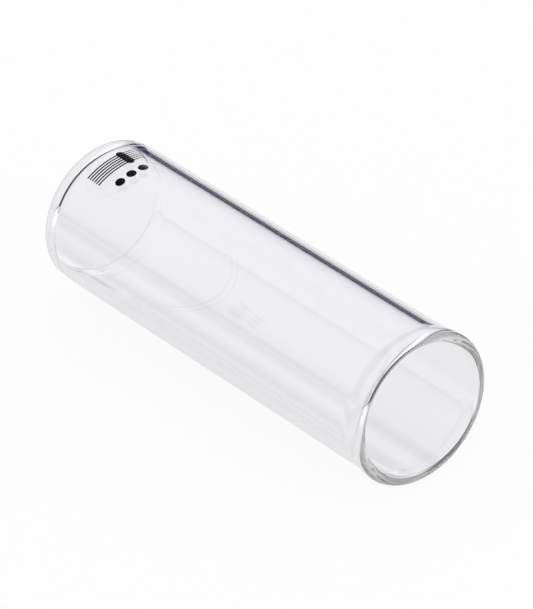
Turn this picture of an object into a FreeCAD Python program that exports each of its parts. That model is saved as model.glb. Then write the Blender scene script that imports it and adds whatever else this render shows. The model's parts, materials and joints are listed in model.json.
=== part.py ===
import FreeCAD, Part
import math
import os

# Guitar slide: a short clear glass tube with fire-polished ends, and a small clear label with a
# printed mark near one end. Millimetres. The tube lies along X, with the finger opening at +X.
# The origin is on the tube's axis, halfway along it. +Z is up when the slide lies on its side.

# Driving dimensions of the tube
length = 69.0
barrel_diameter = 22.0
wall = 1.2
flare_run = 3.0        # the outside of the finger end opens out over this length
flare_rise = 0.36      # and by this much in radius
finger_bead_run = 1.6  # the bore draws in to the finger end's lip over this length
finger_bead = 0.12     # and by this much in radius
neck_run = 2.4         # the outside of the far end draws in over this length
neck_drop = 0.10       # and by this much in radius
far_bead_run = 1.7     # the bore draws in to the far end's lip over this length
far_bead = 0.35        # and by this much in radius

# Driving dimensions of the label and its printed mark
label_length = 8.8     # along the tube
label_arc = 11.6       # around the tube
label_film = 0.08
label_inset = 6.9      # from the far end of the tube to the label's middle
label_turn = 12.0      # degrees from the top of the tube, towards -Y
strings_share = -0.15  # middle of the strings along the tube, as a share of the label's length
dots_share = 0.28      # middle of the dots along the tube, likewise
ink_film = 0.03
string_count = 6
string_pitch = 0.5
string_width = 0.22
string_arc = 8.4
bar_length = 3.6
bar_width = 1.2
bar_shift = 1.9        # from the label's middle, around the tube
dot_count = 3
dot_diameter = 1.5
dot_pitch = 2.1

# Derived dimensions
barrel_radius = barrel_diameter / 2
bore_radius = barrel_radius - wall
label_radius = barrel_radius + label_film
label_x = label_inset - length / 2
strings_x = label_x + label_length * strings_share
dots_x = label_x + label_length * dots_share

AXIS = FreeCAD.Vector(1, 0, 0)
ORIGIN = FreeCAD.Vector(0, 0, 0)
UP = FreeCAD.Vector(0, 0, 1)


def double_bend(start_x, side, radius, run, rise):
    """Two equal arcs that leave a wall face at start_x and settle run further on, rise further out."""
    bend = (run ** 2 + rise ** 2) / (4 * abs(rise))
    quarter_x = run / 4
    quarter_rise = math.copysign(bend - math.sqrt(bend ** 2 - quarter_x ** 2), rise)

    def point(x, height):
        return FreeCAD.Vector(start_x + side * x, 0, radius + height)

    middle = point(run / 2, rise / 2)
    leaving = Part.Arc(point(0, 0), point(quarter_x, quarter_rise), middle)
    settling = Part.Arc(middle, point(run - quarter_x, rise - quarter_rise), point(run, rise))
    return [leaving.toShape(), settling.toShape()]


def end_edges(side, outer_run, outer_rise, bore_run, bore_rise):
    """Wall outline at one end of the tube, and the x where each straight wall face stops.

    side is 1 for the +X end and -1 for the -X end. The outer face and the bore each settle on a new
    radius (a negative rise draws them in), and a half round closes the wall between them.
    """
    outer_lip = barrel_radius + outer_rise
    bore_lip = bore_radius + bore_rise
    lip_half = (outer_lip - bore_lip) / 2
    lip_x = side * (length / 2 - lip_half)
    outer_start = lip_x - side * outer_run
    bore_start = lip_x - side * bore_run
    top = FreeCAD.Vector(lip_x, 0, outer_lip)
    tip = FreeCAD.Vector(side * length / 2, 0, bore_lip + lip_half)
    bottom = FreeCAD.Vector(lip_x, 0, bore_lip)
    edges = [Part.Arc(top, tip, bottom).toShape()]
    edges += double_bend(outer_start, side, barrel_radius, outer_run, outer_rise)
    edges += double_bend(bore_start, side, bore_radius, bore_run, bore_rise)
    return edges, outer_start, bore_start


def glass_tube():
    """The wall's outline, turned once round the tube's axis."""
    edges, outer_finger, bore_finger = end_edges(1, flare_run, flare_rise, finger_bead_run, -finger_bead)
    far_edges, outer_far, bore_far = end_edges(-1, neck_run, -neck_drop, far_bead_run, -far_bead)
    edges += far_edges
    faces = ((barrel_radius, outer_far, outer_finger), (bore_radius, bore_far, bore_finger))
    for radius, far, near in faces:
        edges.append(Part.makeLine(FreeCAD.Vector(far, 0, radius), FreeCAD.Vector(near, 0, radius)))
    print("straight barrel x %.3f..%.3f" % (outer_far, outer_finger))
    print("straight bore x %.3f..%.3f" % (bore_far, bore_finger))
    outline = Part.Wire(Part.__sortEdges__(edges))
    return Part.Face(outline).revolve(ORIGIN, AXIS, 360)


def chord(arc):
    """Half width, seen from straight above, of something that covers arc of the label's surface."""
    return label_radius * math.sin(arc / 2 / label_radius)


def prism(*edges):
    """A tall prism over a closed outline drawn in the XY plane."""
    return Part.Face(Part.Wire(list(edges))).extrude(UP * barrel_diameter)


def block(x, y, length_x, half_width_y):
    corner = FreeCAD.Vector(x - length_x / 2, y - half_width_y, 0)
    return Part.makeBox(length_x, 2 * half_width_y, barrel_diameter, corner)


def post(x, y, diameter):
    return Part.makeCylinder(diameter / 2, barrel_diameter, FreeCAD.Vector(x, y, 0), UP)


def wrap(cutter, radius, thickness):
    """The part of a thin film round the barrel that lies inside cutter, turned to the label's place."""
    start = FreeCAD.Vector(label_x - label_length, 0, 0)
    outside = Part.makeCylinder(radius + thickness, 2 * label_length, start, AXIS)
    inside = Part.makeCylinder(radius, 2 * label_length, start, AXIS)
    film = outside.cut(inside).common(cutter).removeSplitter()
    film.rotate(ORIGIN, AXIS, label_turn)
    return film


def clear_label():
    """A clear oval film stuck on the barrel."""
    middle = FreeCAD.Vector(label_x, 0, 0)
    across = FreeCAD.Vector(label_x, chord(label_arc), 0)
    along = FreeCAD.Vector(label_x + label_length / 2, 0, 0)
    oval = Part.Ellipse(across, along, middle).toShape()
    return wrap(prism(oval), barrel_radius, label_film)


def strings_and_bar():
    """Thin parallel lines round the tube, crossed by one bold bar with round ends."""
    bar_flat = bar_length - bar_width
    shape = block(strings_x, bar_shift, bar_flat, bar_width / 2)
    for end in (-1, 1):
        shape = shape.fuse(post(strings_x + end * bar_flat / 2, bar_shift, bar_width))
    for index in range(string_count):
        x = strings_x + (index - (string_count - 1) / 2) * string_pitch
        shape = shape.fuse(block(x, 0, string_width, chord(string_arc)))
    return wrap(shape, label_radius, ink_film)


def dots():
    """A row of round dots below the strings."""
    places = [(index - (dot_count - 1) / 2) * dot_pitch for index in range(dot_count)]
    return [wrap(post(dots_x, place, dot_diameter), label_radius, ink_film) for place in places]


def printed_mark():
    """The label's ink: one pictogram of strings and bar, and three separate dots."""
    inks = [strings_and_bar()] + dots()
    return Part.Compound([solid for ink in inks for solid in ink.Solids])


parts = {
    "glass_tube": glass_tube(),
    "clear_label": clear_label(),
    "printed_mark": printed_mark(),
}

os.makedirs("parts", exist_ok=True)
for name, shape in parts.items():
    shape.exportStep(os.path.join("parts", name + ".step"))
    box = shape.optimalBoundingBox()
    print(name, "solids", len(shape.Solids), "valid", shape.isValid(), "volume %.3f" % shape.Volume)
    print("  x %.3f..%.3f" % (box.XMin, box.XMax), "y %.3f..%.3f" % (box.YMin, box.YMax),
          "z %.3f..%.3f" % (box.ZMin, box.ZMax))
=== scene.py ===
import json
import math

import bpy
from mathutils import Matrix, Vector


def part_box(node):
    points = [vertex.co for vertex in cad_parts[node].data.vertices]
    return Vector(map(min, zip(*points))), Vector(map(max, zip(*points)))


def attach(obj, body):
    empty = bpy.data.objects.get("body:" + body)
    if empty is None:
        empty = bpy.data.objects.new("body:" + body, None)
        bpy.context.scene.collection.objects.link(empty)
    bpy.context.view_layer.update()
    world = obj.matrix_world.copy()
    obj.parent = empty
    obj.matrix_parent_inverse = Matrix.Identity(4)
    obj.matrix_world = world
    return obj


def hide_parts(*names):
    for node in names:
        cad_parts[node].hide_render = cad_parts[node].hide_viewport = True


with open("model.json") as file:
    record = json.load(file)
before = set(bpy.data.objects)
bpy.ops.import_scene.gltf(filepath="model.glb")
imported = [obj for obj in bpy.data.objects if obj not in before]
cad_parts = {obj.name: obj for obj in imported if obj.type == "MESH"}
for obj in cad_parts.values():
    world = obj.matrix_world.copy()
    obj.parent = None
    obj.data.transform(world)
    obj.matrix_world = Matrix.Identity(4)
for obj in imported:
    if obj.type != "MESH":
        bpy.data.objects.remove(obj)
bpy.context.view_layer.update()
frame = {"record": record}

# Glass guitar slide on a white floor. Metres, in the frame's own axes: the tube lies along X with its
# flared finger opening at +X, and the label is on top near the -X end.

# ---- Sizes, all read from the frame ------------------------------------------------------------
MM = 0.001
mounts = {mount["name"]: mount for mount in frame["record"]["mounts"]}
tube_low, tube_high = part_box("glass_tube")
label_low, label_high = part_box("clear_label")

barrel_radius = mounts["barrel"]["dims"]["r_mm"] * MM
bore_radius = mounts["finger_bore"]["dims"]["r_mm"] * MM
floor_z = tube_low.z


# ---- Mesh helpers --------------------------------------------------------------------------------
def new_piece(name, vertices, faces, material, slot, *nodes):
    """A smooth-shaded mesh piece that rides on the part's one body and stands for CAD nodes."""
    mesh = bpy.data.meshes.new(name)
    mesh.from_pydata(vertices, [], faces)
    mesh.validate()
    mesh.materials.append(material)
    mesh.shade_smooth()
    piece = bpy.data.objects.new(name, mesh)
    bpy.context.scene.collection.objects.link(piece)
    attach(piece, "root")
    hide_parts(*nodes)
    return piece


def steps(count):
    return [index / count for index in range(count + 1)]


# ---- Glass tube ----------------------------------------------------------------------------------
ROUND_STEPS = 36      # steps round each lip
BEND_STEPS = 12       # steps along each arc of a shaped end
BARREL_STEPS = 40     # steps along the straight barrel
TURN_STEPS = 288      # steps round the tube

# (run along the tube, rise in radius) of each end's outer face and bore. A negative rise draws it in.
FINGER_OUTER = (3.0 * MM, 0.36 * MM)
FINGER_BORE = (1.6 * MM, -0.12 * MM)
FAR_OUTER = (2.4 * MM, -0.10 * MM)
FAR_BORE = (1.7 * MM, -0.35 * MM)


def double_bend(run, rise):
    """(distance, height) points of two equal arcs that leave one level and settle on another."""
    bend = (run ** 2 + rise ** 2) / (4 * abs(rise))
    points = []
    for share in steps(BEND_STEPS):
        distance = share * run / 2
        points.append((distance, math.copysign(bend - math.sqrt(bend ** 2 - distance ** 2), rise)))
    return points + [(run - x, rise - y) for x, y in points[-2::-1]]


def end_profile(side, outer_bend, bore_bend):
    """(x, radius) points of one end, from the outer surface round the lip to the bore."""
    outer_lip = barrel_radius + outer_bend[1]
    bore_lip = bore_radius + bore_bend[1]
    lip_half = (outer_lip - bore_lip) / 2
    lip_radius = (outer_lip + bore_lip) / 2
    lip_x = (tube_high.x if side > 0 else tube_low.x) - side * lip_half
    outer_x = lip_x - side * outer_bend[0]
    bore_x = lip_x - side * bore_bend[0]
    outer = [(outer_x + side * x, barrel_radius + y) for x, y in double_bend(*outer_bend)]
    bore = [(bore_x + side * x, bore_radius + y) for x, y in double_bend(*bore_bend)]
    lip = []
    for share in steps(ROUND_STEPS)[1:-1]:
        angle = math.pi * (0.5 - share)
        lip.append((lip_x + side * lip_half * math.cos(angle), lip_radius + lip_half * math.sin(angle)))
    return outer + lip + bore[::-1]


def straight(start, end, radius):
    """(x, radius) points of a straight face, without its two end points."""
    return [(start + (end - start) * share, radius) for share in steps(BARREL_STEPS)[1:-1]]


def tube_profile():
    """The closed (x, radius) outline of the wall."""
    near_end = end_profile(1, FINGER_OUTER, FINGER_BORE)
    far_end = end_profile(-1, FAR_OUTER, FAR_BORE)[::-1]
    outer = straight(far_end[-1][0], near_end[0][0], barrel_radius)
    inner = straight(near_end[-1][0], far_end[0][0], bore_radius)
    return outer + near_end + inner + far_end


def build_tube(material):
    profile = tube_profile()
    count = len(profile)
    vertices = []
    for turn in range(TURN_STEPS):
        angle = 2 * math.pi * turn / TURN_STEPS
        vertices += [(x, r * math.sin(angle), r * math.cos(angle)) for x, r in profile]
    faces = []
    for turn in range(TURN_STEPS):
        here, there = turn * count, (turn + 1) % TURN_STEPS * count
        for index in range(count):
            after = (index + 1) % count
            faces.append((here + index, here + after, there + after, there + index))
    return new_piece("glass_barrel", vertices, faces, material, "clear_glass", "glass_tube")


# ---- Label and ink -------------------------------------------------------------------------------
GAP = 0.002 * MM          # keeps each film just clear of what it lies on
FILM = 0.08 * MM
INK = 0.03 * MM
LABEL_TURN = math.radians(12.0)   # from the top of the tube, towards -Y
LABEL_ARC = 11.6 * MM
STRINGS_SHARE = -0.15     # middle of the strings along the tube, as a share of the label's length
DOTS_SHARE = 0.28         # middle of the dots, likewise
STRING_COUNT = 6
STRING_PITCH = 0.5 * MM
STRING_WIDTH = 0.22 * MM
STRING_ARC = 8.4 * MM
BAR_LENGTH = 3.6 * MM
BAR_WIDTH = 1.2 * MM
BAR_SHIFT = 1.9 * MM
DOT_COUNT = 3
DOT_DIAMETER = 1.5 * MM
DOT_PITCH = 2.1 * MM

# Mesh steps: points round an outline or along one side of it, and rings from its middle to its edge
LABEL_POINTS, LABEL_RINGS = 96, 14
STRING_POINTS, STRING_RINGS = 24, 10
BAR_POINTS, BAR_RINGS = 12, 5
DOT_POINTS, DOT_RINGS = 32, 4

label_x = (label_low.x + label_high.x) / 2
label_length = label_high.x - label_low.x
strings_x = label_x + STRINGS_SHARE * label_length
dots_x = label_x + DOTS_SHARE * label_length
film_radius = barrel_radius + FILM
ink_radius = film_radius + INK


def on_barrel(x, arc, radius):
    """The point at x and at a distance arc round the barrel from the label's middle line."""
    angle = arc / film_radius - LABEL_TURN
    return x, radius * math.sin(angle), radius * math.cos(angle)


def add_patch(shape, middle, outline, low, high, rings):
    """Add a thin closed patch, bent round the barrel, to shape, which is (vertices, faces).

    outline holds (x, arc) points measured from middle. The patch lies between radius low and high.
    """
    vertices, faces = shape
    count = len(outline)
    starts = []
    for radius in (low, high):
        starts.append(len(vertices))
        vertices.append(on_barrel(*middle, radius))
        for ring in range(1, rings + 1):
            share = ring / rings
            for x, arc in outline:
                vertices.append(on_barrel(middle[0] + x * share, middle[1] + arc * share, radius))
    bottom, top = starts
    for index in range(count):
        after = (index + 1) % count
        faces.append((top, top + 1 + index, top + 1 + after))
        faces.append((bottom, bottom + 1 + after, bottom + 1 + index))
        for ring in range(rings - 1):
            inner, outer = 1 + ring * count, 1 + (ring + 1) * count
            quad = (inner + index, outer + index, outer + after, inner + after)
            faces.append(tuple(top + corner for corner in quad))
            faces.append(tuple(bottom + corner for corner in quad[::-1]))
        edge = 1 + (rings - 1) * count
        faces.append((bottom + edge + index, bottom + edge + after, top + edge + after, top + edge + index))


def oval(half_x, half_arc, count):
    angles = [2 * math.pi * index / count for index in range(count)]
    return [(half_x * math.cos(angle), half_arc * math.sin(angle)) for angle in angles]


def strip(half_x, half_arc, count):
    """A rectangle with count steps along each long side."""
    side = [(half_x, half_arc * (2 * share - 1)) for share in steps(count)]
    return side + [(-x, -arc) for x, arc in side]


def capsule(half_x, half_arc, count):
    """A bar with round ends, count steps round each end."""
    flat = half_x - half_arc
    angles = [math.pi * (share - 0.5) for share in steps(count)]
    end = [(flat + half_arc * math.cos(angle), half_arc * math.sin(angle)) for angle in angles]
    return end + [(-x, -arc) for x, arc in end]


def build_label(material):
    """The clear oval film."""
    shape = ([], [])
    outline = oval(label_length / 2, LABEL_ARC / 2, LABEL_POINTS)
    add_patch(shape, (label_x, 0), outline, barrel_radius + GAP, film_radius, LABEL_RINGS)
    return new_piece("oval_label", *shape, material, "label_film", "clear_label")


def build_ink(material):
    """Strings crossed by a bar, and a row of dots, printed on the film."""
    shape = ([], [])
    low, high = film_radius + GAP, ink_radius
    for index in range(STRING_COUNT):
        x = strings_x + (index - (STRING_COUNT - 1) / 2) * STRING_PITCH
        string = strip(STRING_WIDTH / 2, STRING_ARC / 2, STRING_POINTS)
        add_patch(shape, (x, 0), string, low, high - GAP, STRING_RINGS)
    bar = capsule(BAR_LENGTH / 2, BAR_WIDTH / 2, BAR_POINTS)
    add_patch(shape, (strings_x, BAR_SHIFT), bar, low + GAP, high, BAR_RINGS)
    for index in range(DOT_COUNT):
        arc = (index - (DOT_COUNT - 1) / 2) * DOT_PITCH
        dot = oval(DOT_DIAMETER / 2, DOT_DIAMETER / 2, DOT_POINTS)
        add_patch(shape, (dots_x, arc), dot, low, high, DOT_RINGS)
    return new_piece("printed_ink", *shape, material, "black_ink", "printed_mark")


# ---- Materials -----------------------------------------------------------------------------------
GLASS_IOR = 1.474
GLASS_TINT = (0.56, 0.58, 0.53, 1)    # what the wall's depth lets through
GLASS_DENSITY = 14.0                  # per metre
FILM_GLOSS = 0.012                    # share of light that the label's film mirrors
FILM_CLEAR = 0.995                    # light let through each face of the film
FILM_EDGE = (0.80, 0.92)              # and through its cut edge, uneven along it
GLARE_Y = (-1.2 * MM, 1.6 * MM)        # painted highlight: the ink thins across this stretch, where a reflection washes the print out
GLARE_COVER = 0.30                          # cover of the ink where the painted highlight is full
GRAIN = (0.3, 0.7)                    # range of a noise texture's levels that is put to use
FLATNESS = (0.3, 0.8)                 # a face of the film turns from cut edge to flat across this
SPECKLE = (-0.08, 0.12)               # change of the ink's cover from grain to grain


def new_material(name):
    """A new node material, its nodes and its links."""
    material = bpy.data.materials.new(name)
    material.use_nodes = True
    return material, material.node_tree.nodes, material.node_tree.links


def math_node(nodes, links, operation, a, b=None, clamp=False):
    node = nodes.new("ShaderNodeMath")
    node.operation = operation
    node.use_clamp = clamp
    for socket, value in zip(node.inputs, (a, b)):
        if value is None:
            continue
        if isinstance(value, (int, float)):
            socket.default_value = value
        else:
            links.new(value, socket)
    return node.outputs[0]


def sine(degrees):
    return math.sin(math.radians(degrees))


def map_range(nodes, links, value, low, high, start, end):
    """Smooth step of value from low to high, giving start to end. start and end may be sockets."""
    node = nodes.new("ShaderNodeMapRange")
    node.interpolation_type = "SMOOTHSTEP"
    links.new(value, node.inputs["Value"])
    node.inputs["From Min"].default_value = low
    node.inputs["From Max"].default_value = high
    for name, bound in (("To Min", start), ("To Max", end)):
        if isinstance(bound, (int, float)):
            node.inputs[name].default_value = bound
        else:
            links.new(bound, node.inputs[name])
    return node.outputs["Result"]


def glass_material():
    """Clear glass whose grey-green depth shows only where light runs along the wall."""
    material, nodes, links = new_material("fire_polished_glass")
    shader = nodes["Principled BSDF"]
    shader.inputs["Transmission Weight"].default_value = 1.0
    shader.inputs["Base Color"].default_value = (1, 1, 1, 1)
    shader.inputs["Roughness"].default_value = 0.0
    shader.inputs["IOR"].default_value = GLASS_IOR
    depth = nodes.new("ShaderNodeVolumeAbsorption")
    depth.inputs["Color"].default_value = GLASS_TINT
    depth.inputs["Density"].default_value = GLASS_DENSITY
    links.new(depth.outputs[0], nodes["Material Output"].inputs["Volume"])
    return material


def film_material():
    """Clear film: almost invisible face on, with a thin shaded edge and a light gloss."""
    material, nodes, links = new_material("clear_film")
    nodes.clear()
    out = nodes.new("ShaderNodeOutputMaterial")
    clear = nodes.new("ShaderNodeBsdfTransparent")
    gloss = nodes.new("ShaderNodeBsdfGlossy")
    gloss.inputs["Roughness"].default_value = 0.08
    mix = nodes.new("ShaderNodeMixShader")
    mix.inputs[0].default_value = FILM_GLOSS
    geometry = nodes.new("ShaderNodeNewGeometry")
    radial = nodes.new("ShaderNodeVectorMath")
    radial.operation = "MULTIPLY"
    radial.inputs[1].default_value = (0, 1, 1)
    links.new(geometry.outputs["Position"], radial.inputs[0])
    outward = nodes.new("ShaderNodeVectorMath")
    outward.operation = "NORMALIZE"
    links.new(radial.outputs[0], outward.inputs[0])
    facing = nodes.new("ShaderNodeVectorMath")
    facing.operation = "DOT_PRODUCT"
    links.new(outward.outputs[0], facing.inputs[0])
    links.new(geometry.outputs["True Normal"], facing.inputs[1])
    flat = math_node(nodes, links, "ABSOLUTE", facing.outputs["Value"])
    grain = nodes.new("ShaderNodeTexNoise")
    grain.inputs["Scale"].default_value = 900.0
    links.new(geometry.outputs["Position"], grain.inputs["Vector"])
    edge = map_range(nodes, links, grain.outputs["Fac"], *GRAIN, *FILM_EDGE)
    shade = map_range(nodes, links, flat, *FLATNESS, edge, FILM_CLEAR)
    tint = nodes.new("ShaderNodeCombineColor")
    for name in ("Red", "Green", "Blue"):
        links.new(shade, tint.inputs[name])
    links.new(tint.outputs[0], clear.inputs["Color"])
    links.new(clear.outputs[0], mix.inputs[1])
    links.new(gloss.outputs[0], mix.inputs[2])
    links.new(mix.outputs[0], out.inputs["Surface"])
    return material


def ink_material():
    """Black ink, slightly worn, that thins towards the far side of the tube as a painted highlight."""
    material, nodes, links = new_material("black_ink")
    shader = nodes["Principled BSDF"]
    shader.inputs["Base Color"].default_value = (0.003, 0.003, 0.004, 1)
    shader.inputs["Roughness"].default_value = 0.5
    shader.inputs["Specular IOR Level"].default_value = 0.05
    place = nodes.new("ShaderNodeTexCoord")
    split = nodes.new("ShaderNodeSeparateXYZ")
    links.new(place.outputs["Object"], split.inputs[0])
    grain = nodes.new("ShaderNodeTexNoise")
    grain.inputs["Scale"].default_value = 1400.0
    grain.inputs["Detail"].default_value = 3.0
    links.new(place.outputs["Object"], grain.inputs["Vector"])
    speck = map_range(nodes, links, grain.outputs["Fac"], *GRAIN, *SPECKLE)
    # Painted highlight: the ink's cover thins towards +Y, the far side of the tube, standing in for a
    # reflection that washes the print out.
    glare = map_range(nodes, links, split.outputs["Y"], *GLARE_Y, 1.0, GLARE_COVER)
    alpha = math_node(nodes, links, "ADD", glare, speck, clamp=True)
    links.new(alpha, shader.inputs["Alpha"])
    return material


# ---- Stage ---------------------------------------------------------------------------------------
# Camera: azimuth turns it from -Y towards +X, and the aim is off the tube's middle by these amounts.
VIEW_AZIMUTH = math.radians(50.57)
VIEW_ELEVATION = math.radians(31.2)
VIEW_DISTANCE = 0.695
AIM_RIGHT = 1.10 * MM
AIM_UP = 0.30 * MM
SENSOR = 36.0
LENS = 298.6

# Floor. It glows and is also lit a little, so that it takes soft shadows. The camera sees it plain.
# Seen through the glass it is dimmer, as painted shade of the tube, and glancing rays see it brighter in
# front, as painted light, and dark behind, as painted shade.
FLOOR_HALF = 3.0
FLOOR_ALBEDO = 0.07
FLOOR_DIRECT = 0.916                 # glow for the camera
FLOOR_THROUGH = 0.765                # glow through the glass
FLOOR_GLANCING = 1.20                # glow through the glass, for glancing rays in front
GLANCING = (10, 28)                  # degrees above the floor between which a ray is glancing or not
REAR_DARK = (7.5, 8.5)               # degrees across which the dark behind gives way to the glow
BEHIND = (0.2, 0.6)                  # how far a ray leads away from the camera, from in front to behind
FLOOR_TINT = (0.985, 0.975, 1.0)
DARK_VIOLET = (0.015, 0.009, 0.045)  # faint colour of the dark parts of the floor and the sky

# Painted light: soft lines along the tube in the glow seen through the glass, which give the tube's
# lower half its pale and grey streaks. Each is (y of the middle, half width, change of glow).
FLOOR_STRIPES = [(4.1 * MM, 2.2 * MM, -0.09), (-1.0 * MM, 1.8 * MM, -0.05), (-2.9 * MM, 1.7 * MM, 0.14)]

# Sky behind the tube and in front of it, as (elevation in degrees, light level). The camera sees white.
SKY_TOP = 2.0                        # light level of a full ramp colour
SKY_TINT = (0.985, 0.975, 1.03)
BACK_SKY = [(3, 0.0), (7, 0.38), (13, 0.72), (22, 0.92), (30, 1.2), (40, 1.35), (60, 1.1), (90, 1.0)]
FRONT_SKY = [(0, 0.15), (3, 0.6), (7, 1.0), (20, 1.25), (40, 1.3), (60, 1.1), (90, 1.0)]
SKY_BLEND = (-0.75, -0.15)           # lean towards the camera, from the back sky to the front one
DARK_SIDE = (-0.84, -0.74)           # the sky towards -X is dark up to here, then light
DARK_SIDE_SHARE = 0.03

# Colour sockets of a Mix node: first input, second input, result
MIX_FIRST, MIX_SECOND, MIX_RESULT = 6, 7, 2
LIGHT_BOUNCES = 160                  # enough for light that runs along inside the wall


def camera_axes():
    """The camera's right, up and back directions."""
    level = Vector((math.sin(VIEW_AZIMUTH), -math.cos(VIEW_AZIMUTH), 0))
    back = level * math.cos(VIEW_ELEVATION) + Vector((0, 0, math.sin(VIEW_ELEVATION)))
    right = Vector((math.cos(VIEW_AZIMUTH), math.sin(VIEW_AZIMUTH), 0))
    return right, back.cross(right), back


def build_camera():
    right, up, back = camera_axes()
    data = bpy.data.cameras.new("camera")
    data.sensor_width = SENSOR
    data.lens = LENS
    data.clip_start = 0.01
    camera = bpy.data.objects.new("camera", data)
    camera.location = back * VIEW_DISTANCE + right * AIM_RIGHT + up * AIM_UP
    camera.rotation_mode = "QUATERNION"
    camera.rotation_quaternion = Matrix((right, up, back)).transposed().to_quaternion()
    bpy.context.scene.collection.objects.link(camera)
    bpy.context.scene.camera = camera


def towards_camera(nodes, links, vector, low, high):
    """Smooth step of how far a vector leans, on the level, towards the camera."""
    dot = nodes.new("ShaderNodeVectorMath")
    dot.operation = "DOT_PRODUCT"
    back = camera_axes()[2]
    dot.inputs[1].default_value = Vector((back.x, back.y, 0)).normalized()
    links.new(vector, dot.inputs[0])
    return map_range(nodes, links, dot.outputs["Value"], low, high, 0.0, 1.0)


def stripe(nodes, links, across, middle, half):
    """1 on a line along the tube, falling smoothly to 0 at half to either side."""
    offset = math_node(nodes, links, "SUBTRACT", across, middle)
    return map_range(nodes, links, math_node(nodes, links, "ABSOLUTE", offset), 0, half, 1.0, 0.0)


def floor_material():
    material, nodes, links = new_material("white_floor")
    nodes.clear()
    out = nodes.new("ShaderNodeOutputMaterial")
    camera_ray = nodes.new("ShaderNodeLightPath").outputs["Is Camera Ray"]
    geometry = nodes.new("ShaderNodeNewGeometry")
    ray = nodes.new("ShaderNodeSeparateXYZ")
    links.new(geometry.outputs["Incoming"], ray.inputs[0])
    slope = ray.outputs["Z"]
    behind = towards_camera(nodes, links, geometry.outputs["Incoming"], *BEHIND)
    place = nodes.new("ShaderNodeSeparateXYZ")
    links.new(geometry.outputs["Position"], place.inputs[0])

    hue = nodes.new("ShaderNodeMix")
    hue.data_type = "RGBA"
    hue.inputs[MIX_FIRST].default_value = (*FLOOR_TINT, 1)
    hue.inputs[MIX_SECOND].default_value = (1, 1, 1, 1)
    links.new(camera_ray, hue.inputs[0])

    glancing = [sine(degrees) for degrees in GLANCING]
    # Glow through the glass: painted light for glancing rays in front, and a dimmer glow, painted shade of
    # the tube, for the rest.
    front = map_range(nodes, links, slope, *glancing, FLOOR_GLANCING, FLOOR_THROUGH)
    under = FLOOR_THROUGH
    for middle, half, change in FLOOR_STRIPES:
        line = stripe(nodes, links, place.outputs["Y"], middle, half)
        under = math_node(nodes, links, "ADD", math_node(nodes, links, "MULTIPLY", line, change), under)
    through = map_range(nodes, links, behind, 0, 1, front, under)
    level = map_range(nodes, links, camera_ray, 0, 1, through, FLOOR_DIRECT)

    glow = nodes.new("ShaderNodeEmission")
    links.new(hue.outputs[MIX_RESULT], glow.inputs["Color"])
    links.new(level, glow.inputs["Strength"])
    lit = nodes.new("ShaderNodeBsdfDiffuse")
    lit.inputs["Color"].default_value = (FLOOR_ALBEDO, FLOOR_ALBEDO, FLOOR_ALBEDO, 1)
    both = nodes.new("ShaderNodeAddShader")
    links.new(glow.outputs[0], both.inputs[0])
    links.new(lit.outputs[0], both.inputs[1])

    dark = nodes.new("ShaderNodeEmission")
    dark.inputs["Color"].default_value = (*DARK_VIOLET, 1)
    rear_dark = [sine(degrees) for degrees in REAR_DARK]
    rear = map_range(nodes, links, slope, *rear_dark, behind, 0.0)
    mix = nodes.new("ShaderNodeMixShader")
    links.new(map_range(nodes, links, camera_ray, 0, 1, rear, 0.0), mix.inputs[0])
    links.new(both.outputs[0], mix.inputs[1])
    links.new(dark.outputs[0], mix.inputs[2])
    links.new(mix.outputs[0], out.inputs["Surface"])
    return material


def build_floor():
    mesh = bpy.data.meshes.new("floor")
    turns = ((-1, -1), (1, -1), (1, 1), (-1, 1))
    mesh.from_pydata([(x * FLOOR_HALF, y * FLOOR_HALF, floor_z) for x, y in turns], [], [(0, 1, 2, 3)])
    mesh.materials.append(floor_material())
    floor = bpy.data.objects.new("floor", mesh)
    bpy.context.scene.collection.objects.link(floor)


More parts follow.
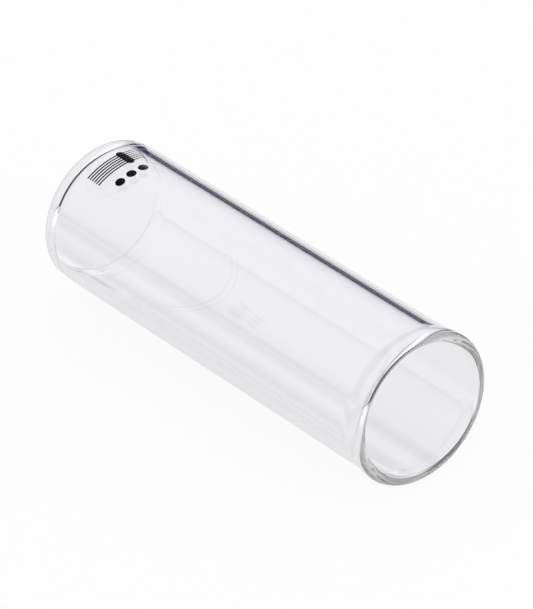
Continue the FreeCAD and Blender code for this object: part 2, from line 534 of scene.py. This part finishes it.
def sky_ramp(nodes, links, height, stops):
    """A colour ramp of light level against the sine of elevation. stops are (degrees, level) pairs."""
    ramp = nodes.new("ShaderNodeValToRGB")
    links.new(height, ramp.inputs[0])
    elements = ramp.color_ramp.elements
    for index, (degrees, level) in enumerate(stops):
        position = sine(degrees)
        element = elements[index] if index < 2 else elements.new(position)
        element.position = position
        share = level / SKY_TOP
        red, green, blue = [share * tint + dark / SKY_TOP for tint, dark in zip(SKY_TINT, DARK_VIOLET)]
        element.color = (red, green, blue, 1)
    return ramp.outputs["Color"]


def build_world():
    """Soft light from all round, fading to dark just above the level, with a dark patch towards -X."""
    world = bpy.data.worlds.new("studio")
    bpy.context.scene.world = world
    world.use_nodes = True
    nodes, links = world.node_tree.nodes, world.node_tree.links
    nodes.clear()
    out = nodes.new("ShaderNodeOutputWorld")
    place = nodes.new("ShaderNodeTexCoord")
    split = nodes.new("ShaderNodeSeparateXYZ")
    links.new(place.outputs["Generated"], split.inputs[0])

    blend = nodes.new("ShaderNodeMix")
    blend.data_type = "RGBA"
    lean = towards_camera(nodes, links, place.outputs["Generated"], *SKY_BLEND)
    links.new(lean, blend.inputs[0])
    links.new(sky_ramp(nodes, links, split.outputs["Z"], BACK_SKY), blend.inputs[MIX_FIRST])
    links.new(sky_ramp(nodes, links, split.outputs["Z"], FRONT_SKY), blend.inputs[MIX_SECOND])

    side = map_range(nodes, links, split.outputs["X"], *DARK_SIDE, DARK_SIDE_SHARE * SKY_TOP, SKY_TOP)
    sky = nodes.new("ShaderNodeBackground")
    links.new(blend.outputs[MIX_RESULT], sky.inputs["Color"])
    links.new(side, sky.inputs["Strength"])
    white = nodes.new("ShaderNodeBackground")
    white.inputs["Color"].default_value = (1, 1, 1, 1)
    mix = nodes.new("ShaderNodeMixShader")
    links.new(nodes.new("ShaderNodeLightPath").outputs["Is Camera Ray"], mix.inputs[0])
    links.new(sky.outputs[0], mix.inputs[1])
    links.new(white.outputs[0], mix.inputs[2])
    links.new(mix.outputs[0], out.inputs["Surface"])


def render_settings():
    scene = bpy.context.scene
    scene.view_settings.view_transform = "Standard"
    scene.cycles.max_bounces = LIGHT_BOUNCES
    scene.cycles.transmission_bounces = LIGHT_BOUNCES
    scene.cycles.glossy_bounces = LIGHT_BOUNCES
    scene.cycles.transparent_max_bounces = 16


build_tube(glass_material())
build_label(film_material())
build_ink(ink_material())
build_camera()
build_floor()
build_world()
render_settings()
